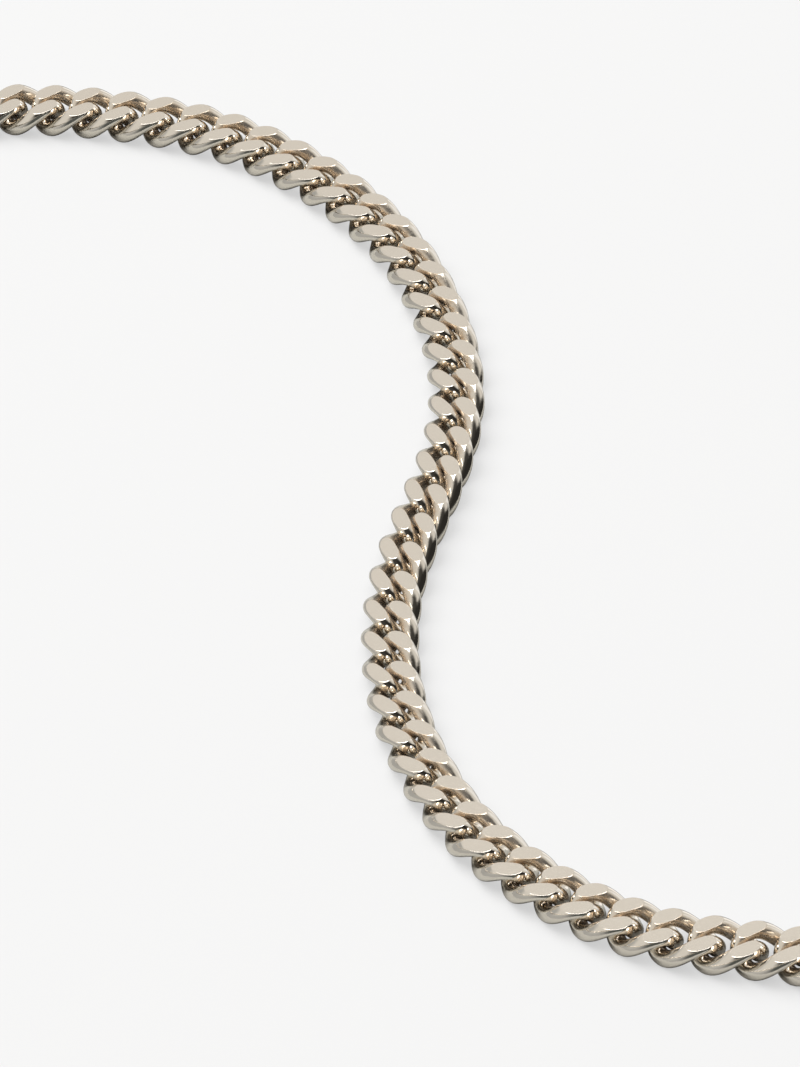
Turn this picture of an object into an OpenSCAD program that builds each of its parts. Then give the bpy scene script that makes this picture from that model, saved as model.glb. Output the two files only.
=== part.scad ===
// Curb chain necklace: twisted oval links, cut flat on top and underneath, laid flat in a loose S.
// Millimetres. X is right, Y is away from the viewer, Z is up.
// The origin is on the table, under the middle of the whole closed loop.

/* [Chain] */
// Number of links in the loop
links = 111; // [110:1:111]
// Distance from one link to the next, measured along the chain
pitch = 4.8; // [4.74:0.02:4.82]
// Where the first link lies, measured along the laid path
first_link_at = 440.4; // [438:0.2:442]
// How many of the links are in the upper run, from the clasp to the middle of the loop
upper_count = 56; // [50:1:60]

/* [Link] */
// Half of the length of the wire's centre line, end to end
link_half_len = 3.5; // [3.4:0.02:3.56]
// Half of the width of the wire's centre line, side to side
link_half_wid = 2.3; // [2.1:0.05:2.4]
// How far the sides stand out past a true ellipse
side_bulge = 0.15; // [0:0.05:0.2]
// How far both ends of a link lean towards the next link
end_lean = 0.12; // [0:0.02:0.16]
// How far the twist lifts and drops the wire from the middle height
twist_rise = 1.5; // [1.3:0.05:1.6]
// Width of the wire where two links hook together
end_wire_wid = 1.9; // [1.5:0.05:1.9]
// Height of the wire where two links hook together
end_wire_high = 1.6; // [1.4:0.05:1.7]
// Width of the wire along the link's sides
side_wire_wid = 2.0; // [1.7:0.05:2.1]
// Height of the wire along the link's sides, before it is cut flat
side_wire_high = 2.3; // [1.9:0.05:2.4]
// Height of the chain between its flat cuts
chain_high = 3.7; // [3.5:0.05:3.9]
// Stations round one link
stations = 12; // [10:2:12]

/* [Rings] */
// Thickness of the ring wire
ring_wire = 0.9; // [0.8:0.05:0.95]
// Radius of a ring, to the middle of its wire
ring_r = 2.2; // [2.2:0.02:2.24]
// Lean of the rings out of the flat
ring_tilt = 41; // [40:1:42]
// Clearance between a ring and the link that it hooks
hook_gap = 0.2; // [0.18:0.01:0.24]

/* [Clasp] */
// Thickness of the clasp's barrel, which lies on the table
barrel_thick = 3.7; // [3.5:0.1:3.8]
// Radius of the arc that swells the barrel along its length
barrel_arc_r = 7; // [6:0.5:12]
// Thickness of the wire of the eyes at both ends
eye_wire = 0.8; // [0.7:0.05:0.85]
// Radius of the tail eye, to the middle of its wire
tail_eye_r = 2.3; // [2.2:0.05:2.5]
// Radius of the larger nose eye, to the middle of its wire
nose_eye_r = 2.7; // [2.4:0.1:2.8]
// Clearance between an eye and the ring that it hooks
eye_gap = 0.4; // [0.38:0.01:0.42]

/* [Hidden] */

silver = [0.82, 0.78, 0.71];

// Guide points of the laid path, with the columns X and Y. The path is a smooth closed curve that
// runs close by them. The first 13 lie along the S and the others lead the plain way round.
path_guides = [
    [-12, 96], [1, 87.5], [12, 73.5], [18, 59.5], [20.5, 41.5], [16.5, 26.5], [8.5, 12],
    [6, -5.5], [8.5, -20.5], [14.5, -34.5], [29.5, -49.5], [45.5, -54], [58, -60.5],
    [64, -73.5], [62.5, -88], [53.5, -99], [40, -103.5], [26, -100.5],
    [3.5, -87.5], [-19.5, -74.5], [-42, -61.5], [-51, -53], [-55, -41],
    [-57.5, -11.5], [-59.5, 17.5], [-61.5, 47], [-64, 76.5], [-60, 92], [-47.5, 102.5], [-32, 103]
];
guide_count = len(path_guides);
steps_per_guide = 20;

// Corners of the wire's six-sided section, as turns from its outer edge. The upper and lower ones
// stand a little wider apart than a regular hexagon's, so that the flat cuts are broad.
wire_corners = [0, 50, 130, 180, 230, 310];
wire_sides = len(wire_corners);
// The corners stand out past the round wire by this much, because the flats between them fall short
corner_reach = 1.05;

mid_high = chain_high / 2;
ring_high = ring_r * sin(ring_tilt) + ring_wire / 2;

function guide(i) = path_guides[(i + guide_count) % guide_count];

// A point of the closed curve, a uniform cubic B-spline over the guide points
function path_point(u) =
    let (i = floor(u), t = u - i, back = 1 - t)
    (guide(i - 1) * pow(back, 3)
        + guide(i) * (3 * pow(t, 3) - 6 * pow(t, 2) + 4)
        + guide(i + 1) * (3 * pow(back, 3) - 6 * pow(back, 2) + 4)
        + guide(i + 2) * pow(t, 3)) / 6;

path_steps = guide_count * steps_per_guide;
path_points = [for (k = [0 : path_steps]) path_point(k / steps_per_guide)];

// Running length of the path at each of its points
function running_lengths(points, i, total) =
    i == len(points) ? []
    : let (next = total + norm(points[i] - points[i - 1]))
        concat([next], running_lengths(points, i + 1, next));
path_lengths = concat([0], running_lengths(path_points, 1, 0));
loop_len = path_lengths[path_steps];
path_x = [for (k = [0 : path_steps]) [path_lengths[k], path_points[k].x]];
path_y = [for (k = [0 : path_steps]) [path_lengths[k], path_points[k].y]];

// The point of the path at a length along it
function along(length) =
    let (s = (length % loop_len + loop_len) % loop_len)
    [lookup(s, path_x), lookup(s, path_y)];
function heading(from, to) = atan2(to.y - from.y, to.x - from.x);

function link_length(k) = first_link_at + k * pitch;
function link_place(k) = along(link_length(k));
function link_heading(k) = heading(along(link_length(k) - pitch / 2), along(link_length(k) + pitch / 2));

// The wire's centre line. It is an oval in plan, and twice round it rises and falls, so that the
// far side is high at the left, the near side is high at the right and the ends cross the middle.
function wire_centre(t) = [
    link_half_len * cos(t) + end_lean * cos(2 * t),
    link_half_wid * sin(t) - side_bulge * sin(3 * t),
    -twist_rise * sin(2 * t)
];
function wire_along(t) = wire_centre(t + 1) - wire_centre(t - 1);
function unit(v) = v / norm(v);
function mix(from, to, share) = from + (to - from) * share;
function cut_flat(p) = [p.x, p.y, max(-mid_high, min(mid_high, p.z))];

// One corner of the wire's section, at the turn t round the link
function wire_point(t, corner) =
    let (
        side = pow(sin(t), 2),
        half_wid = corner_reach * mix(end_wire_wid, side_wire_wid, side) / 2,
        half_high = corner_reach * mix(end_wire_high, side_wire_high, side) / 2,
        ahead = unit(wire_along(t)),
        outward = unit(cross(ahead, [0, 0, 1])),
        upward = cross(outward, ahead)
    )
    cut_flat(wire_centre(t) + outward * half_wid * cos(corner) + upward * half_high * sin(corner));

link_points = [
    for (i = [0 : stations - 1], corner = wire_corners) wire_point(i * 360 / stations, corner)
];
function link_index(i, j) = (i % stations) * wire_sides + j % wire_sides;
link_faces = [
    for (i = [0 : stations - 1], j = [0 : wire_sides - 1])
        each [
            [link_index(i, j), link_index(i + 1, j + 1), link_index(i + 1, j)],
            [link_index(i, j), link_index(i, j + 1), link_index(i + 1, j + 1)]
        ]
];

// The straight way from the last link back to the first, which the two rings and the clasp bridge
last_place = link_place(links - 1);
first_place = link_place(0);
bridge_len = norm(first_place - last_place);
bridge_heading = heading(last_place, first_place);

// Distances along the bridge, from the middle of the last link
ring_inside = end_wire_wid / 2 + hook_gap + ring_wire / 2;
eye_inside = ring_wire / 2 + eye_gap + eye_wire / 2;
tail_ring_at = link_half_len + end_lean - ring_inside + ring_r;
nose_ring_at = bridge_len - link_half_len + end_lean + ring_inside - ring_r;
tail_eye_at = tail_ring_at + ring_r - eye_inside + tail_eye_r;
nose_eye_at = nose_ring_at - ring_r + eye_inside - nose_eye_r;
barrel_start = tail_eye_at + tail_eye_r;
barrel_end = nose_eye_at - nose_eye_r;

module link(k) {
    place = link_place(k);
    translate([place.x, place.y, mid_high])
        rotate([0, 0, link_heading(k)])
            polyhedron(points = link_points, faces = link_faces);
}

module upper_links() {
    color(silver)
        for (k = [0 : upper_count - 1]) link(k);
}

module lower_links() {
    color(silver)
        for (k = [upper_count : links - 1]) link(k);
}

// Puts a piece at a distance along the bridge and at a height above the table
module on_bridge(distance, high) {
    translate([last_place.x, last_place.y, high])
        rotate([0, 0, bridge_heading])
            translate([distance, 0, 0])
                children();
}

// A ring of round wire, lying in the plane of its own X and Y
module round_wire(radius, thick) {
    rotate_extrude($fn = 48)
        translate([radius, 0])
            circle(d = thick, $fn = 24);
}

// The rings lean like the end of the link whose place each one takes
module tail_ring() {
    color(silver)
        on_bridge(tail_ring_at, ring_high)
            rotate([ring_tilt, 0, 0])
                round_wire(ring_r, ring_wire);
}

module nose_ring() {
    color(silver)
        on_bridge(nose_ring_at, ring_high)
            rotate([-ring_tilt, 0, 0])
                round_wire(ring_r, ring_wire);
}

// A swelling barrel with an eye at each end, all in one piece
module clasp() {
    barrel_r = barrel_thick / 2;
    barrel_len = barrel_end - barrel_start;
    color(silver)
        on_bridge(0, barrel_r)
            union() {
                translate([(barrel_start + barrel_end) / 2, 0, 0])
                    rotate([0, 90, 0])
                        rotate_extrude($fn = 64)
                            intersection() {
                                translate([barrel_r - barrel_arc_r, 0])
                                    circle(r = barrel_arc_r, $fn = 256);
                                translate([0, -barrel_len / 2])
                                    square([barrel_r, barrel_len]);
                            }
                translate([tail_eye_at, 0, 0])
                    round_wire(tail_eye_r, eye_wire);
                translate([nose_eye_at, 0, 0])
                    round_wire(nose_eye_r, eye_wire);
            }
}

upper_links();
lower_links();
clasp();
tail_ring();
nose_ring();
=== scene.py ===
"""Curb chain necklace in polished silver, laid flat in a loose S on a pale studio floor.

The links, the clasp and its two rings are made here at full detail, where the frame's solids lie.
Lengths are worked out in millimetres and turned to metres as each mesh is written.
"""

import math

import bmesh
import bpy
import numpy as np
from mathutils import Euler, Matrix, Vector


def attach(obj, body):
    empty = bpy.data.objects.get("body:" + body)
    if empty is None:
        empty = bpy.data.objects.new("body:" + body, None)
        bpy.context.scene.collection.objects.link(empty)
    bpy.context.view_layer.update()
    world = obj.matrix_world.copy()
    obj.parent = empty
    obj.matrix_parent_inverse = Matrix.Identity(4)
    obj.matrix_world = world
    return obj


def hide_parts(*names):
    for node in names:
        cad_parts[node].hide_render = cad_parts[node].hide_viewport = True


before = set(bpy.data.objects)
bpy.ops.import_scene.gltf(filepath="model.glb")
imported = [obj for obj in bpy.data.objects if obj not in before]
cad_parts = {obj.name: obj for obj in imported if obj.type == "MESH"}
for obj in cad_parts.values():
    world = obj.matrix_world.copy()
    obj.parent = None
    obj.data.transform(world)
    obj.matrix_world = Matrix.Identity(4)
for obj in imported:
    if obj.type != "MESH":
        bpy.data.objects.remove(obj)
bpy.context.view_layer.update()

bl_info = {
    "name": "Curb Chain Necklace",
    "version": (1, 0, 0),
    "blender": (4, 5, 0),
    "location": "3D View > Sidebar > Curb Chain",
    "description": "Builds a silver curb chain necklace with its clasp and a small studio",
    "category": "Object",
}

# Metres in a millimetre
MM = 0.001
BODY = "root"

# Guide points of the laid path in millimetres, with the columns X and Y. The first 13 lie along the S
# and the others lead the plain way round.
PATH_GUIDES = np.array([
    (-12, 96), (1, 87.5), (12, 73.5), (18, 59.5), (20.5, 41.5), (16.5, 26.5), (8.5, 12),
    (6, -5.5), (8.5, -20.5), (14.5, -34.5), (29.5, -49.5), (45.5, -54), (58, -60.5),
    (64, -73.5), (62.5, -88), (53.5, -99), (40, -103.5), (26, -100.5),
    (3.5, -87.5), (-19.5, -74.5), (-42, -61.5), (-51, -53), (-55, -41),
    (-57.5, -11.5), (-59.5, 17.5), (-61.5, 47), (-64, 76.5), (-60, 92), (-47.5, 102.5), (-32, 103),
], float)
STEPS_PER_GUIDE = 20

# How sharply the wire swells from a link's ends to its sides
SIDE_SHARE_POWER = 1.4

# Fineness of the meshes: stations along a wire or the clasp's barrel, and sides round it
LINK_STATIONS = 54
LINK_SIDES = 22
RING_STATIONS = 96
RING_SIDES = 28
BARREL_STATIONS = 41
BARREL_SIDES = 96
# Grain of the clasp's casting in millimetres, and how often its corners are smoothed into fillets
CLASP_GRAIN = 0.08
FILLET_PASSES = 8

# Places in a link mesh's list of materials
ROUND_FINISH = 0
CUT_FINISH = 1
# What the points of a link carry: 0 on the wire's outer side and 1 on the side towards its hollow
# The buffed silver paints the hollows' shade by this share
INNER_SIDE = "inner_side"

# The floor's side, how far it lies below the chain and the key light's place, in millimetres
FLOOR_SIDE = 4000
FLOOR_DROP = 0.02
KEY_PLACE = (-1000, 1000, 2000)

# The studio's surroundings, as soft-edged cards that lie one over another, the last one on top. The
# columns are the card's name, the azimuth of its middle (0 is right, 90 is away from the viewer), its
# elevation, its roll, half its width and half its height, all in degrees, the softness of its edge as
# a share of its size, its colour and its brightness.
CARDS = (
    ("pale_table", 0, -90, 0, 88, 88, 0.05, "#F8F8F6", 0.48),
    ("back_flat", 93, 31, 0, 38, 29, 0.2, "#FAF6F0", 0.77),
    ("left_wall", 150, -3, 0, 30, 24, 0.4, "#F4F4F2", 0.48),
    ("dark_front", -72, 28, 0, 46, 34, 0.25, "#F4EFE6", 0.06),
    ("low_front", -78, -20, 0, 46, 26, 0.35, "#EDF4F0", 0.11),
    ("white_wall", 53, 0, 0, 12, 20, 0.3, "#FFFFFF", 1.1),
    ("strip_light", 25, 6, 20, 9, 46, 0.25, "#FFFFFF", 0.95),
    ("dark_flag", -22, 2, 48, 16, 62, 0.25, "#F4EFE6", 0.03),
    ("overhead_softbox", -90, 89, 0, 24, 25, 0.1, "#FFFFFF", 5.8),
)


def srgb(code):
    """The linear colour of an sRGB hex value such as #C8BFB1."""
    shares = [int(code[i:i + 2], 16) / 255 for i in (1, 3, 5)]
    return [s / 12.92 if s <= 0.04045 else ((s + 0.055) / 1.055) ** 2.4 for s in shares]


def length_property(name, description, millimetres):
    return bpy.props.FloatProperty(
        name=name, description=description, default=millimetres * MM, min=0, unit="LENGTH", precision=5
    )


def angle_property(name, description, degrees):
    return bpy.props.FloatProperty(
        name=name, description=description, default=math.radians(degrees), subtype="ANGLE"
    )


def colour_property(name, description, code):
    return bpy.props.FloatVectorProperty(
        name=name, description=description, default=srgb(code), min=0, max=1, size=3, subtype="COLOR"
    )


def light_property(name, description, strength):
    return bpy.props.FloatProperty(name=name, description=description, default=strength, min=0)


class ChainSizes(bpy.types.PropertyGroup):
    """Sizes of the chain and of one of its links."""

    links: bpy.props.IntProperty(name="Links", description="Links in the loop", default=111, min=3)
    upper_count: bpy.props.IntProperty(
        name="Upper run", description="Links from the clasp to the middle of the loop", default=56, min=1
    )
    pitch: length_property("Pitch", "Distance from one link to the next", 4.8)
    first_link_at: length_property("First link at", "Where the first link lies along the path", 440.4)
    half_len: length_property("Half length", "Half of the wire's centre line, end to end", 3.51)
    half_wid: length_property("Half width", "Half of the wire's centre line, side to side", 2.22)
    side_bulge: length_property("Side bulge", "How far the sides stand out past an ellipse", 0.17)
    end_lean: length_property("End lean", "How far both ends lean towards the next link", 0.03)
    twist_rise: length_property("Twist rise", "How far the twist lifts and drops the wire", 1.45)
    end_wire_wid: length_property("End wire width", "Width of the wire where links hook", 2.08)
    end_wire_high: length_property("End wire height", "Height of the wire where links hook", 2.12)
    side_wire_wid: length_property("Side wire width", "Width of the wire at a link's sides", 1.98)
    side_wire_high: length_property("Side wire height", "Height of the wire at a link's sides", 2.02)
    chain_high: length_property("Chain height", "Height between the flat cuts", 3.7)
    soft_edge: length_property("Soft edge", "How far the cut's edge is rubbed down, in height", 0.05)


class ClaspSizes(bpy.types.PropertyGroup):
    """Sizes of the clasp and of the two rings that hold it."""

    ring_wire: length_property("Ring wire", "Thickness of the ring wire", 0.9)
    ring_r: length_property("Ring radius", "Radius of a ring to the middle of its wire", 2.2)
    ring_tilt: angle_property("Ring tilt", "Lean of the rings out of the flat", 41)
    tail_ring_at: length_property("Tail ring place", "From the last link's middle to the tail ring's", 4.22)
    nose_ring_at: length_property("Nose ring place", "From the nose ring's middle to the first link's", 3.98)
    barrel_thick: length_property("Barrel thickness", "Thickness of the clasp's barrel", 3.7)
    barrel_arc_r: length_property("Barrel arc", "Radius of the arc that swells the barrel", 7)
    eye_wire: length_property("Eye wire", "Thickness of the wire of the clasp's eyes", 0.8)
    tail_eye_r: length_property("Tail eye", "Radius of the tail eye to the middle of its wire", 2.3)
    nose_eye_r: length_property("Nose eye", "Radius of the nose eye to the middle of its wire", 2.7)
    eye_gap: length_property("Eye gap", "Clearance between an eye and the ring it hooks", 0.4)


class SilverLook(bpy.types.PropertyGroup):
    """Colours of the silver, and of the shade painted into the hollows of its links."""

    polished: colour_property("Polished silver", "Colour that polished silver reflects", "#ECE5DA")
    cut: colour_property("Cut silver", "Colour that the flat cuts reflect", "#ECE5DA")
    # Painted shade: the darker brown that the inner sides of the links take towards their hollows
    hollow_shade_colour: colour_property("Hollow_shade", "Colour of the film left in the hollows", "#B7A38A")


class StudioLook(bpy.types.PropertyGroup):
    """Colours of the studio, strengths of its lights and the camera's place."""

    floor: colour_property("Floor", "Colour of the frosted floor", "#666666")
    floor_glow: light_property("Floor glow", "Light that comes through the frosted floor", 0.571)
    key: bpy.props.FloatProperty(
        name="Key light", description="Power of the softbox behind the chain's left", default=104, min=0,
        unit="POWER",
    )
    key_size: length_property("Key light width", "Width of the round softbox", 2100)
    runner: colour_property("Runner", "Colour of the paper that the silver mirrors below it", "#848481")
    runner_reach: length_property("Runner reach", "How far the paper reaches at each side", 6.5)
    room: colour_property("Room", "Colour of the studio room", "#E0DDD7")
    room_light: light_property("Room light", "Brightness of the studio room", 1.0)
    camera_x: length_property("Camera across", "How far right of the origin the camera stands", 10.12)
    camera_back: length_property("Camera back", "How far in front of the origin the camera stands", 504.83)
    camera_high: length_property("Camera height", "Height of the camera above the floor", 534.53)
    camera_down: angle_property("Camera down", "How far the camera looks down", 45.55)
    camera_roll: angle_property("Camera roll", "Turn of the camera about its view", -8.52)
    camera_lens: bpy.props.FloatProperty(
        name="Camera lens", description="Focal length in millimetres, on a sensor 36 mm tall",
        default=216.2, min=1, unit="CAMERA",
    )


def mm(sizes, name):
    """A size in millimetres."""
    return getattr(sizes, name) / MM


# The laid path


def path_points():
    """Points of the closed path, a uniform cubic B-spline over the guide points."""
    u = np.arange(len(PATH_GUIDES) * STEPS_PER_GUIDE + 1) / STEPS_PER_GUIDE
    i = np.floor(u).astype(int)
    t = (u - i)[:, None]
    back = 1 - t
    before, here, after, beyond = (PATH_GUIDES[(i + k) % len(PATH_GUIDES)] for k in (-1, 0, 1, 2))
    return (
        before * back ** 3
        + here * (3 * t ** 3 - 6 * t ** 2 + 4)
        + after * (3 * back ** 3 - 6 * back ** 2 + 4)
        + beyond * t ** 3
    ) / 6


class LaidPath:
    """The closed path, measured along its length in millimetres."""

    def __init__(self):
        self.points = path_points()
        steps = np.linalg.norm(np.diff(self.points, axis=0), axis=1)
        self.lengths = np.concatenate([[0], np.cumsum(steps)])

    def along(self, length):
        s = length % self.lengths[-1]
        return np.array([np.interp(s, self.lengths, self.points[:, axis]) for axis in (0, 1)])

    def link_place(self, chain, k):
        """Where link k lies, and its heading in radians."""
        s = mm(chain, "first_link_at") + k * mm(chain, "pitch")
        step = self.along(s + mm(chain, "pitch") / 2) - self.along(s - mm(chain, "pitch") / 2)
        return self.along(s), math.atan2(step[1], step[0])


# Links


def wire_centre(chain, t):
    """The wire's centre line: an oval in plan, which rises and falls twice on its way round."""
    return np.stack([
        mm(chain, "half_len") * np.cos(t) + mm(chain, "end_lean") * np.cos(2 * t),
        mm(chain, "half_wid") * np.sin(t) - mm(chain, "side_bulge") * np.sin(3 * t),
        -mm(chain, "twist_rise") * np.sin(2 * t),
    ], -1)


def unit(v):
    return v / np.linalg.norm(v, axis=-1, keepdims=True)


def mix(start, end, share):
    return start + (end - start) * share


def round_link(chain):
    """Points on the uncut link and its normals there, in stations round it and sides round its wire."""
    t = np.arange(LINK_STATIONS) * 2 * np.pi / LINK_STATIONS
    # The wire's direction is taken over this turn to each side
    small = math.radians(1)
    side = np.abs(np.sin(t))[:, None, None] ** SIDE_SHARE_POWER
    half_wid = mix(mm(chain, "end_wire_wid"), mm(chain, "side_wire_wid"), side) / 2
    half_high = mix(mm(chain, "end_wire_high"), mm(chain, "side_wire_high"), side) / 2
    ahead = unit(wire_centre(chain, t + small) - wire_centre(chain, t - small))
    outward = unit(np.cross(ahead, [0, 0, 1]))
    upward = np.cross(outward, ahead)
    corner = (np.arange(LINK_SIDES) * 2 * np.pi / LINK_SIDES)[None, :, None]
    points = (
        wire_centre(chain, t)[:, None]
        + outward[:, None] * half_wid * np.cos(corner)
        + upward[:, None] * half_high * np.sin(corner)
    )
    along = np.roll(points, -1, 0) - np.roll(points, 1, 0)
    across = np.roll(points, -1, 1) - np.roll(points, 1, 1)
    return points, unit(np.cross(along, across)), 0.5 - 0.5 * np.cos(corner[0, :, 0])


def add_round_link(bm, chain, carried, inner):
    points, normals, inward = round_link(chain)
    rows = []
    for i in range(LINK_STATIONS):
        rows.append([bm.verts.new(point) for point in points[i]])
        for vert, normal, share in zip(rows[i], normals[i], inward):
            vert[carried] = normal
            vert[inner] = share
    for i in range(LINK_STATIONS):
        here, ahead = rows[i], rows[(i + 1) % LINK_STATIONS]
        for j in range(LINK_SIDES):
            k = (j + 1) % LINK_SIDES
            bm.faces.new((here[j], ahead[j], ahead[k], here[k]))


def cut_flat(bm, height, soft_edge):
    """Cuts the link off above and below, with a ring of points at each side of the edges to be."""
    # Points this close to a cut are taken to lie on it
    near = soft_edge / 20
    for up in (1, -1):
        for level in (height - soft_edge, height, height + soft_edge):
            bmesh.ops.bisect_plane(
                bm, geom=bm.verts[:] + bm.edges[:] + bm.faces[:], dist=near,
                plane_co=(0, 0, up * level), plane_no=(0, 0, up), clear_outer=level > height,
            )
    rim = [edge for edge in bm.edges if edge.is_boundary]
    bmesh.ops.holes_fill(bm, edges=rim, sides=0)


def rub_down(points, normals, height, soft_edge):
    """Presses the cut's rim down to the flat, so that its edge turns over smoothly.

    The last array that it gives says which points lie on the flat itself, give or take rounding.
    """
    up = np.sign(points[:, 2])
    over = np.abs(points[:, 2]) - height
    turn = np.clip((soft_edge - over) / (2 * soft_edge), 0, 1)
    rubbed = np.where(over < -soft_edge, height + over, height - soft_edge * turn ** 2)
    normals = unit(np.stack([normals[:, 0] * turn, normals[:, 1] * turn, normals[:, 2]], -1))
    on_flat = over > soft_edge * 0.99
    return np.stack([points[:, 0], points[:, 1], up * rubbed], -1), normals, on_flat


def link_mesh(chain):
    """One link at the origin: its points, normals and inner shares, its faces and which are flat."""
    bm = bmesh.new()
    carried = bm.verts.layers.float_vector.new("normal")
    inner = bm.verts.layers.float.new(INNER_SIDE)
    add_round_link(bm, chain, carried, inner)
    height, soft_edge = mm(chain, "chain_high") / 2, mm(chain, "soft_edge")
    cut_flat(bm, height, soft_edge)
    bm.verts.index_update()
    points, normals, on_flat = rub_down(
        np.array([vert.co for vert in bm.verts]), np.array([vert[carried] for vert in bm.verts]),
        height, soft_edge,
    )
    inward = np.array([vert[inner] for vert in bm.verts])
    faces = [[vert.index for vert in face.verts] for face in bm.faces]
    bm.free()
    return points, normals, inward, faces, np.array([on_flat[face].all() for face in faces])


def turned(points, heading):
    """Points turned about Z by a heading in radians."""
    c, s = math.cos(heading), math.sin(heading)
    return points @ np.array([(c, s, 0), (-s, c, 0), (0, 0, 1)])


def run_of_links(chain, path, name, first, last):
    """Links first to last as one mesh object, each one placed along the path."""
    points, normals, inward, faces, flat = link_mesh(chain)
    corner_counts = np.array([len(face) for face in faces])
    corners = np.concatenate(faces)
    count = last - first + 1
    placed, facing = [], []
    for k in range(first, last + 1):
        place, heading = path.link_place(chain, k)
        placed.append(turned(points, heading) + [*place, mm(chain, "chain_high") / 2])
        facing.append(turned(normals, heading))
    all_points = np.concatenate(placed) * MM
    all_corners = np.concatenate([corners + n * len(points) for n in range(count)])
    all_counts = np.tile(corner_counts, count)

    mesh = bpy.data.meshes.new(name)
    mesh.vertices.add(len(all_points))
    mesh.vertices.foreach_set("co", all_points.ravel())
    mesh.loops.add(len(all_corners))
    mesh.loops.foreach_set("vertex_index", all_corners)
    mesh.polygons.add(len(all_counts))
    mesh.polygons.foreach_set("loop_start", np.concatenate([[0], np.cumsum(all_counts)[:-1]]))
    mesh.update(calc_edges=True)
    mesh.polygons.foreach_set("material_index", np.tile(np.where(flat, CUT_FINISH, ROUND_FINISH), count))
    mesh.polygons.foreach_set("use_smooth", np.ones(len(all_counts), bool))
    inner = mesh.attributes.new(INNER_SIDE, "FLOAT", "POINT")
    inner.data.foreach_set("value", np.tile(inward, count))
    mesh.normals_split_custom_set_from_vertices(np.concatenate(facing))
    return place_object(name, mesh)


def place_object(name, mesh):
    obj = bpy.data.objects.new(name, mesh)
    bpy.context.scene.collection.objects.link(obj)
    return obj


def dress(obj, materials):
    for material in materials:
        obj.data.materials.append(material)


def tie_to_frame(piece, node):
    """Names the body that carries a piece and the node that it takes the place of."""
    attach(piece, BODY)
    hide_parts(node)


# Clasp and rings


class Bridge:
    """The straight way from the last link back to the first, in millimetres from the last link."""

    def __init__(self, chain, clasp, path):
        self.start, _ = path.link_place(chain, chain.links - 1)
        end, _ = path.link_place(chain, 0)
        way = end - self.start
        self.heading = math.atan2(way[1], way[0])
        ring_r = mm(clasp, "ring_r")
        eye_inside = mm(clasp, "ring_wire") / 2 + mm(clasp, "eye_gap") + mm(clasp, "eye_wire") / 2
        self.tail_ring = mm(clasp, "tail_ring_at")
        self.nose_ring = np.linalg.norm(way) - mm(clasp, "nose_ring_at")
        self.tail_eye = self.tail_ring + ring_r - eye_inside + mm(clasp, "tail_eye_r")
        self.nose_eye = self.nose_ring - ring_r + eye_inside - mm(clasp, "nose_eye_r")
        self.barrel_start = self.tail_eye + mm(clasp, "tail_eye_r")
        self.barrel_end = self.nose_eye - mm(clasp, "nose_eye_r")
        self.ring_high = ring_r * math.sin(clasp.ring_tilt) + mm(clasp, "ring_wire") / 2

    def put(self, points, height):
        """Points given along the bridge, set in their place over the floor, in metres."""
        return (turned(points, self.heading) + [*self.start, height]) * MM


def round_wire(radius, thick):
    """Points and faces of a ring of round wire in its own flat."""
    a = (np.arange(RING_STATIONS) * 2 * np.pi / RING_STATIONS)[:, None]
    b = (np.arange(RING_SIDES) * 2 * np.pi / RING_SIDES)[None]
    reach = radius + thick / 2 * np.cos(b)
    points = np.stack([reach * np.cos(a), reach * np.sin(a), thick / 2 * np.sin(b) + 0 * a], -1)
    index = np.arange(RING_STATIONS * RING_SIDES).reshape(RING_STATIONS, RING_SIDES)
    ahead, across = np.roll(index, -1, 0), np.roll(index, -1, 1)
    faces = np.stack([index, ahead, np.roll(ahead, -1, 1), across], -1).reshape(-1, 4)
    return points.reshape(-1, 3), faces


def smooth_object(name, points, faces):
    mesh = bpy.data.meshes.new(name)
    mesh.from_pydata([tuple(p) for p in points], [], [tuple(f) for f in faces])
    mesh.polygons.foreach_set("use_smooth", [True] * len(mesh.polygons))
    mesh.update()
    return place_object(name, mesh)


def make_ring(clasp, bridge, name, distance, tilt):
    points, faces = round_wire(mm(clasp, "ring_r"), mm(clasp, "ring_wire"))
    tilted = points @ np.array(Euler((tilt, 0, 0)).to_matrix()).T + [distance, 0, 0]
    return smooth_object(name, bridge.put(tilted, bridge.ring_high), faces)


def add_barrel(bm, clasp, bridge):
    """The swelling barrel, turned round the bridge's X and closed with a flat disc at each end."""
    arc_r, barrel_r = mm(clasp, "barrel_arc_r"), mm(clasp, "barrel_thick") / 2
    middle = (bridge.barrel_start + bridge.barrel_end) / 2
    rings = []
    for x in np.linspace(bridge.barrel_start, bridge.barrel_end, BARREL_STATIONS):
        radius = barrel_r - arc_r + math.sqrt(arc_r ** 2 - (x - middle) ** 2)
        turns = np.arange(BARREL_SIDES) * 2 * np.pi / BARREL_SIDES
        rings.append([bm.verts.new((x, radius * math.cos(a), radius * math.sin(a))) for a in turns])
    for here, ahead in zip(rings, rings[1:]):
        for j in range(BARREL_SIDES):
            k = (j + 1) % BARREL_SIDES
            bm.faces.new((here[j], ahead[j], ahead[k], here[k]))
    bm.faces.new(rings[0])
    bm.faces.new(rings[-1][::-1])


def clasp_rough(clasp, bridge):
    """The clasp's barrel and its two eyes, which still cross each other."""
    bm = bmesh.new()
    add_barrel(bm, clasp, bridge)
    for x, radius in (
        (bridge.tail_eye, mm(clasp, "tail_eye_r")), (bridge.nose_eye, mm(clasp, "nose_eye_r"))
    ):
        points, faces = round_wire(radius, mm(clasp, "eye_wire"))
        verts = [bm.verts.new(point + (x, 0, 0)) for point in points]
        for face in faces:
            bm.faces.new([verts[i] for i in face])
    mesh = bpy.data.meshes.new("clasp_rough")
    bm.to_mesh(mesh)
    bm.free()
    return mesh


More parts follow.
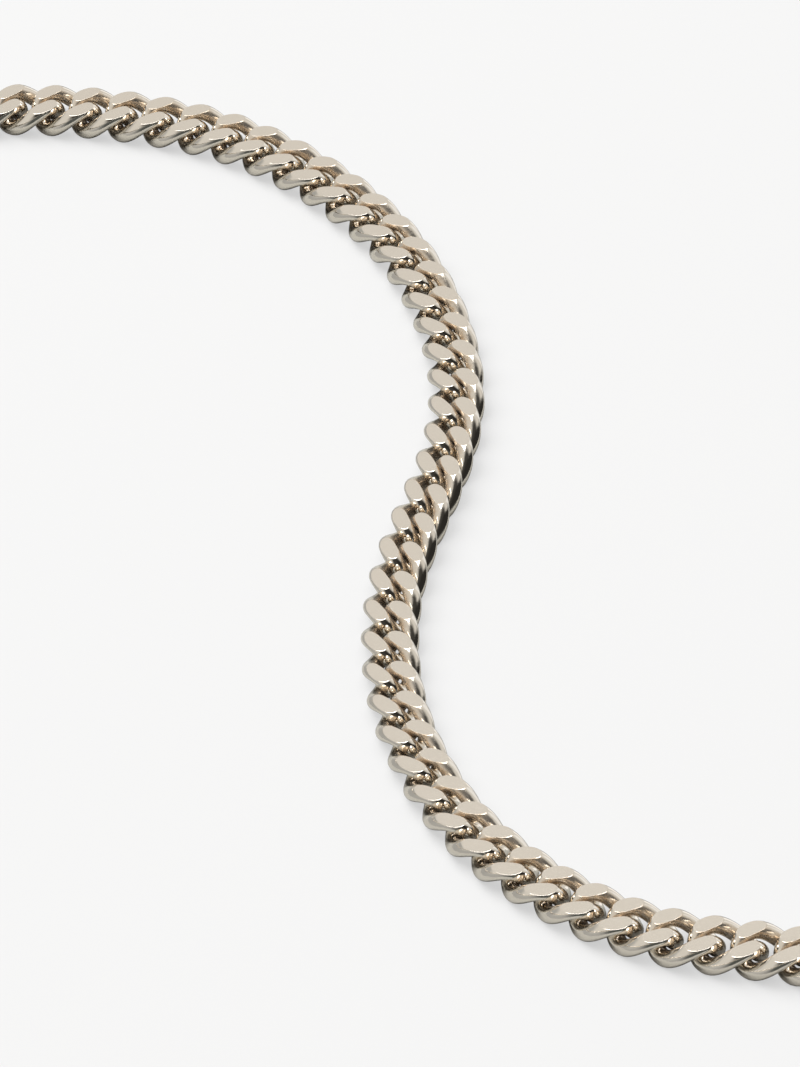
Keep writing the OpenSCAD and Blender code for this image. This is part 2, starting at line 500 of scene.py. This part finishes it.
def make_clasp(clasp, bridge):
    """The clasp as one casting, with small fillets where its eyes run into its barrel."""
    rough = place_object("clasp_rough", clasp_rough(clasp, bridge))
    casting = rough.modifiers.new("casting", "REMESH")
    casting.mode = "VOXEL"
    casting.voxel_size = CLASP_GRAIN
    fillets = rough.modifiers.new("fillets", "SMOOTH")
    fillets.iterations = FILLET_PASSES
    shaped = bpy.data.meshes.new_from_object(rough.evaluated_get(bpy.context.evaluated_depsgraph_get()))
    points = np.array([vert.co for vert in shaped.vertices])
    faces = [list(face.vertices) for face in shaped.polygons]
    bpy.data.objects.remove(rough)
    bpy.data.meshes.remove(shaped)
    return smooth_object("cast_clasp", bridge.put(points, mm(clasp, "barrel_thick") / 2), faces)


# Materials


def add_node(tree, kind, settings=None, inputs=None):
    """Adds a node, with its settings, and its inputs as values or as sockets to link from."""
    node = tree.nodes.new(kind)
    for name, value in (settings or {}).items():
        setattr(node, name, value)
    for name, value in (inputs or {}).items():
        socket = node.inputs[name]
        if isinstance(value, bpy.types.NodeSocket):
            tree.links.new(value, socket)
        else:
            socket.default_value = value
    return node


def new_material(name):
    material = bpy.data.materials.new(name)
    material.use_nodes = True
    material.node_tree.nodes.clear()
    return material


def polished_silver(look):
    """Sterling silver, tumbled in steel shot and then buffed, which mirrors the studio sharply.

    The shot leaves shallow dimples that waver the mirror. The inner sides of the links, towards their
    hollows, are painted darker and browner in patches as painted shade, and made rougher and less metallic.
    """
    material = new_material("buffed_sterling_silver")
    tree = material.node_tree
    place = add_node(tree, "ShaderNodeTexCoord").outputs["Object"]
    inner = add_node(tree, "ShaderNodeAttribute", {"attribute_name": INNER_SIDE}).outputs["Fac"]
    # Painted shade of the hollows: its share rises on the side of the wire that faces the link's hollow
    facing_hollow = add_node(tree, "ShaderNodeMapRange", inputs={
        "Value": inner, "From Min": 0.45, "From Max": 0.85,
    }).outputs["Result"]
    # The painted shade breaks up into patches some 0.9 mm across, 1.1 to a millimetre
    patches = add_node(tree, "ShaderNodeTexNoise", inputs={
        "Vector": place, "Scale": 1.1 / MM, "Detail": 3.0,
    }).outputs["Fac"]
    shade_strength = add_node(tree, "ShaderNodeMapRange", inputs={
        "Value": patches, "From Min": 0.35, "From Max": 0.65, "To Min": 0.45, "To Max": 1.0,
    }).outputs["Result"]
    painted_shade = add_node(
        tree, "ShaderNodeMath", {"operation": "MULTIPLY"}, {0: facing_hollow, 1: shade_strength}
    ).outputs["Value"]
    # Painted shade: towards the hollows the colour turns darker and browner
    colour = add_node(tree, "ShaderNodeMix", {"data_type": "RGBA"}, {
        "Factor": painted_shade, 6: (*look.polished, 1), 7: (*look.hollow_shade_colour, 1),
    }).outputs[2]
    metal_share = add_node(tree, "ShaderNodeMapRange", inputs={"Value": painted_shade, "To Min": 1.0, "To Max": 0.76})
    dulled = add_node(tree, "ShaderNodeMapRange", inputs={"Value": painted_shade, "To Min": 0.08, "To Max": 0.3})
    # Steel shot of 0.6 mm leaves 1.6 dimples to a millimetre
    dimples = add_node(tree, "ShaderNodeTexNoise", inputs={"Vector": place, "Scale": 1.6 / MM})
    relief = add_node(tree, "ShaderNodeBump", inputs={
        "Height": dimples.outputs["Fac"], "Strength": 1.0, "Distance": 0.012 * MM,
    })
    shader = add_node(tree, "ShaderNodeBsdfPrincipled", inputs={
        "Base Color": colour,
        "Metallic": metal_share.outputs["Result"],
        "Roughness": dulled.outputs["Result"],
        "Normal": relief.outputs["Normal"],
    })
    add_node(tree, "ShaderNodeOutputMaterial", inputs={"Surface": shader.outputs[0]})
    return material


def cut_silver(look):
    """Sterling silver, ground flat on a wheel and lapped, whose fine even grain gives a satin sheen."""
    material = new_material("lapped_sterling_silver")
    tree = material.node_tree
    place = add_node(tree, "ShaderNodeTexCoord").outputs["Object"]
    # Real lapping marks are some 0.01 mm apart. These are drawn 9 to a millimetre, so that they show.
    grain = add_node(tree, "ShaderNodeTexNoise", inputs={
        "Vector": place, "Scale": 9 / MM, "Roughness": 0.6,
    }).outputs["Fac"]
    sheen = add_node(tree, "ShaderNodeMapRange", inputs={
        "Value": grain, "From Min": 0.3, "From Max": 0.7, "To Min": 0.16, "To Max": 0.24,
    })
    relief = add_node(tree, "ShaderNodeBump", inputs={
        "Height": grain, "Strength": 1.0, "Distance": 0.0015 * MM,
    })
    shader = add_node(tree, "ShaderNodeBsdfPrincipled", inputs={
        "Base Color": (*look.cut, 1),
        "Metallic": 1.0,
        "Roughness": sheen.outputs["Result"],
        "Normal": relief.outputs["Normal"],
    })
    add_node(tree, "ShaderNodeOutputMaterial", inputs={"Surface": shader.outputs[0]})
    return material


def frosted_floor(look):
    """Frosted acrylic over a light table, which glows evenly and gives no gloss."""
    material = new_material("frosted_acrylic")
    tree = material.node_tree
    shader = add_node(tree, "ShaderNodeBsdfPrincipled", inputs={
        "Base Color": (*look.floor, 1), "Roughness": 1.0, "Specular IOR Level": 0.0,
        "Emission Color": (*srgb("#FFFFFF"), 1), "Emission Strength": look.floor_glow,
    })
    add_node(tree, "ShaderNodeOutputMaterial", inputs={"Surface": shader.outputs[0]})
    return material


def matte_paper(look):
    """Uncoated paper, which gives no gloss."""
    material = new_material("uncoated_paper")
    tree = material.node_tree
    shader = add_node(tree, "ShaderNodeBsdfPrincipled", inputs={
        "Base Color": (*look.runner, 1), "Roughness": 1.0, "Specular IOR Level": 0.0,
    })
    add_node(tree, "ShaderNodeOutputMaterial", inputs={"Surface": shader.outputs[0]})
    return material


# Studio


def make_floor(look):
    half = FLOOR_SIDE / 2 * MM
    mesh = bpy.data.meshes.new("floor")
    corners = [(-half, -half), (half, -half), (half, half), (-half, half)]
    mesh.from_pydata([(x, y, -FLOOR_DROP * MM) for x, y in corners], [], [(0, 1, 2, 3)])
    floor = place_object("floor", mesh)
    dress(floor, [frosted_floor(look)])
    # The silver mirrors the runner and the cards below it instead
    floor.visible_glossy = False


def make_runner(look):
    """Paper that follows the chain on the floor. Only the silver mirrors it, with the chain's shade."""
    path = LaidPath().points[:-1]
    ahead = unit(np.roll(path, -1, 0) - np.roll(path, 1, 0))
    aside = np.stack([-ahead[:, 1], ahead[:, 0]], -1) * mm(look, "runner_reach")
    sides = np.concatenate([path - aside, path + aside]) * MM
    here = np.arange(len(path))
    beyond = np.roll(here, -1)
    faces = np.stack([here, beyond, beyond + len(path), here + len(path)], -1)
    # It lies half way between the floor and the chain
    height = -FLOOR_DROP / 2 * MM
    mesh = bpy.data.meshes.new("runner")
    mesh.from_pydata([(x, y, height) for x, y in sides], [], [tuple(face) for face in faces])
    runner = place_object("runner", mesh)
    dress(runner, [matte_paper(look)])
    runner.visible_camera = False
    runner.visible_diffuse = False
    runner.visible_shadow = False


def card_turn(azimuth, elevation, roll):
    """The turn that carries X, Y and Z to a card's width, its height and the way to its middle."""
    a, e = math.radians(azimuth), math.radians(elevation)
    middle = Vector((math.cos(e) * math.cos(a), math.cos(e) * math.sin(a), math.sin(e)))
    level = Vector((-math.sin(a), math.cos(a), 0))
    facing = Matrix((level, middle.cross(level), middle)).transposed()
    return (facing @ Matrix.Rotation(math.radians(roll), 3, "Z")).to_euler()


def card_share(tree, direction, turn, half_wid, half_high, softness):
    """How fully a card covers a direction: 1 on it, 0 off it and a soft edge between."""
    seen = add_node(tree, "ShaderNodeMapping", {"vector_type": "TEXTURE"}, {
        "Vector": direction, "Rotation": turn,
        "Scale": (math.sin(math.radians(half_wid)), math.sin(math.radians(half_high)), 1),
    }).outputs[0]
    flat = add_node(tree, "ShaderNodeVectorMath", {"operation": "MULTIPLY"}, {0: seen, 1: (1, 1, 0)})
    reach = add_node(tree, "ShaderNodeVectorMath", {"operation": "LENGTH"}, {0: flat.outputs[0]})
    edge = add_node(tree, "ShaderNodeMapRange", {"interpolation_type": "SMOOTHSTEP"}, {
        "Value": reach.outputs["Value"], "From Min": 1 - softness, "From Max": 1 + softness,
        "To Min": 1.0, "To Max": 0.0,
    })
    depth = add_node(tree, "ShaderNodeSeparateXYZ", inputs={0: seen}).outputs["Z"]
    ahead = add_node(tree, "ShaderNodeMath", {"operation": "GREATER_THAN"}, {0: depth, 1: 0.0})
    return add_node(
        tree, "ShaderNodeMath", {"operation": "MULTIPLY"}, {0: edge.outputs[0], 1: ahead.outputs[0]}
    ).outputs["Value"]


def make_world(look):
    """The studio's surroundings: an even room with the cards before it."""
    world = bpy.data.worlds.new("studio_room")
    bpy.context.scene.world = world
    world.use_nodes = True
    tree = world.node_tree
    tree.nodes.clear()
    direction = add_node(tree, "ShaderNodeTexCoord").outputs["Generated"]
    light = (*(look.room_light * share for share in look.room), 1)
    for _, azimuth, elevation, roll, half_wid, half_high, softness, colour, strength in CARDS:
        turn = card_turn(azimuth, elevation, roll)
        share = card_share(tree, direction, turn, half_wid, half_high, softness)
        card = (*(strength * c for c in srgb(colour)), 1)
        light = add_node(
            tree, "ShaderNodeMix", {"data_type": "RGBA"}, {"Factor": share, 6: light, 7: card}
        ).outputs[2]
    back = add_node(tree, "ShaderNodeBackground", inputs={"Color": light, "Strength": 1.0})
    add_node(tree, "ShaderNodeOutputWorld", inputs={"Surface": back.outputs[0]})


def make_key(look):
    """A softbox behind the chain's left, which lays the chain's shade to the right and to the front."""
    light = bpy.data.lights.new("key_softbox", "AREA")
    light.shape = "DISK"
    light.size = look.key_size
    light.energy = look.key
    softbox = bpy.data.objects.new("key_softbox", light)
    bpy.context.scene.collection.objects.link(softbox)
    softbox.location = Vector(KEY_PLACE) * MM
    softbox.rotation_euler = softbox.location.to_track_quat("Z", "Y").to_euler()
    # The silver mirrors the cards instead
    softbox.visible_glossy = False


def make_camera(look):
    camera = bpy.data.cameras.new("camera")
    camera.sensor_fit = "VERTICAL"
    camera.sensor_height = 36
    camera.lens = look.camera_lens
    camera.clip_start = 0.01
    camera.clip_end = 100
    obj = bpy.data.objects.new("camera", camera)
    bpy.context.scene.collection.objects.link(obj)
    obj.location = (look.camera_x, -look.camera_back, look.camera_high)
    looking = Matrix.Rotation(math.pi / 2 - look.camera_down, 4, "X")
    obj.rotation_euler = (looking @ Matrix.Rotation(look.camera_roll, 4, "Z")).to_euler()
    bpy.context.scene.camera = obj


# Operators


class CURB_OT_links(bpy.types.Operator):
    """Lays both runs of links along the path"""

    bl_idname = "curb.links"
    bl_label = "Lay the links"

    def execute(self, context):
        chain = context.scene.curb_chain
        look = context.scene.curb_silver
        path = LaidPath()
        middle = chain.upper_count
        for name, node, first, last in (
            ("upper_run", "upper_links", 0, middle - 1),
            ("lower_run", "lower_links", middle, chain.links - 1),
        ):
            run = run_of_links(chain, path, name, first, last)
            dress(run, [polished_silver(look), cut_silver(look)])
            tie_to_frame(run, node)
        return {"FINISHED"}


class CURB_OT_clasp(bpy.types.Operator):
    """Makes the clasp, between the chain's two ends"""

    bl_idname = "curb.clasp"
    bl_label = "Make the clasp"

    def execute(self, context):
        sizes = context.scene.curb_clasp
        bridge = Bridge(context.scene.curb_chain, sizes, LaidPath())
        clasp = make_clasp(sizes, bridge)
        dress(clasp, [polished_silver(context.scene.curb_silver)])
        tie_to_frame(clasp, "clasp")
        return {"FINISHED"}


class CURB_OT_rings(bpy.types.Operator):
    """Makes the two rings that join the clasp to the chain's ends"""

    bl_idname = "curb.rings"
    bl_label = "Make the rings"

    def execute(self, context):
        sizes = context.scene.curb_clasp
        bridge = Bridge(context.scene.curb_chain, sizes, LaidPath())
        for name, node, distance, tilt in (
            ("tail_jump_ring", "tail_ring", bridge.tail_ring, sizes.ring_tilt),
            ("nose_jump_ring", "nose_ring", bridge.nose_ring, -sizes.ring_tilt),
        ):
            ring = make_ring(sizes, bridge, name, distance, tilt)
            dress(ring, [polished_silver(context.scene.curb_silver)])
            tie_to_frame(ring, node)
        return {"FINISHED"}


class CURB_OT_studio(bpy.types.Operator):
    """Sets up the floor, the lights and the camera"""

    bl_idname = "curb.studio"
    bl_label = "Set up the studio"

    def execute(self, context):
        look = context.scene.curb_studio
        make_floor(look)
        make_runner(look)
        make_world(look)
        make_key(look)
        make_camera(look)
        context.scene.view_settings.view_transform = "Standard"
        return {"FINISHED"}


class CURB_PT_panel(bpy.types.Panel):
    """Lists the necklace's sizes and colours and the operators that build it"""

    bl_idname = "CURB_PT_panel"
    bl_label = "Curb Chain"
    bl_space_type = "VIEW_3D"
    bl_region_type = "UI"
    bl_category = "Curb Chain"

    def draw(self, context):
        for name, _ in GROUPS:
            settings = getattr(context.scene, name)
            box = self.layout.box()
            for field in settings.__annotations__:
                box.prop(settings, field)
        for operator in OPERATORS:
            self.layout.operator(operator.bl_idname)


GROUPS = (
    ("curb_chain", ChainSizes), ("curb_clasp", ClaspSizes), ("curb_silver", SilverLook),
    ("curb_studio", StudioLook),
)
OPERATORS = (CURB_OT_studio, CURB_OT_links, CURB_OT_clasp, CURB_OT_rings)


def register():
    for name, group in GROUPS:
        bpy.utils.register_class(group)
        setattr(bpy.types.Scene, name, bpy.props.PointerProperty(type=group))
    for cls in (*OPERATORS, CURB_PT_panel):
        bpy.utils.register_class(cls)


def unregister():
    for cls in (CURB_PT_panel, *OPERATORS):
        bpy.utils.unregister_class(cls)
    for name, group in GROUPS:
        delattr(bpy.types.Scene, name)
        bpy.utils.unregister_class(group)


def main():
    register()
    bpy.ops.curb.studio()
    bpy.ops.curb.links()
    bpy.ops.curb.clasp()
    bpy.ops.curb.rings()


if __name__ == "__main__":
    main()
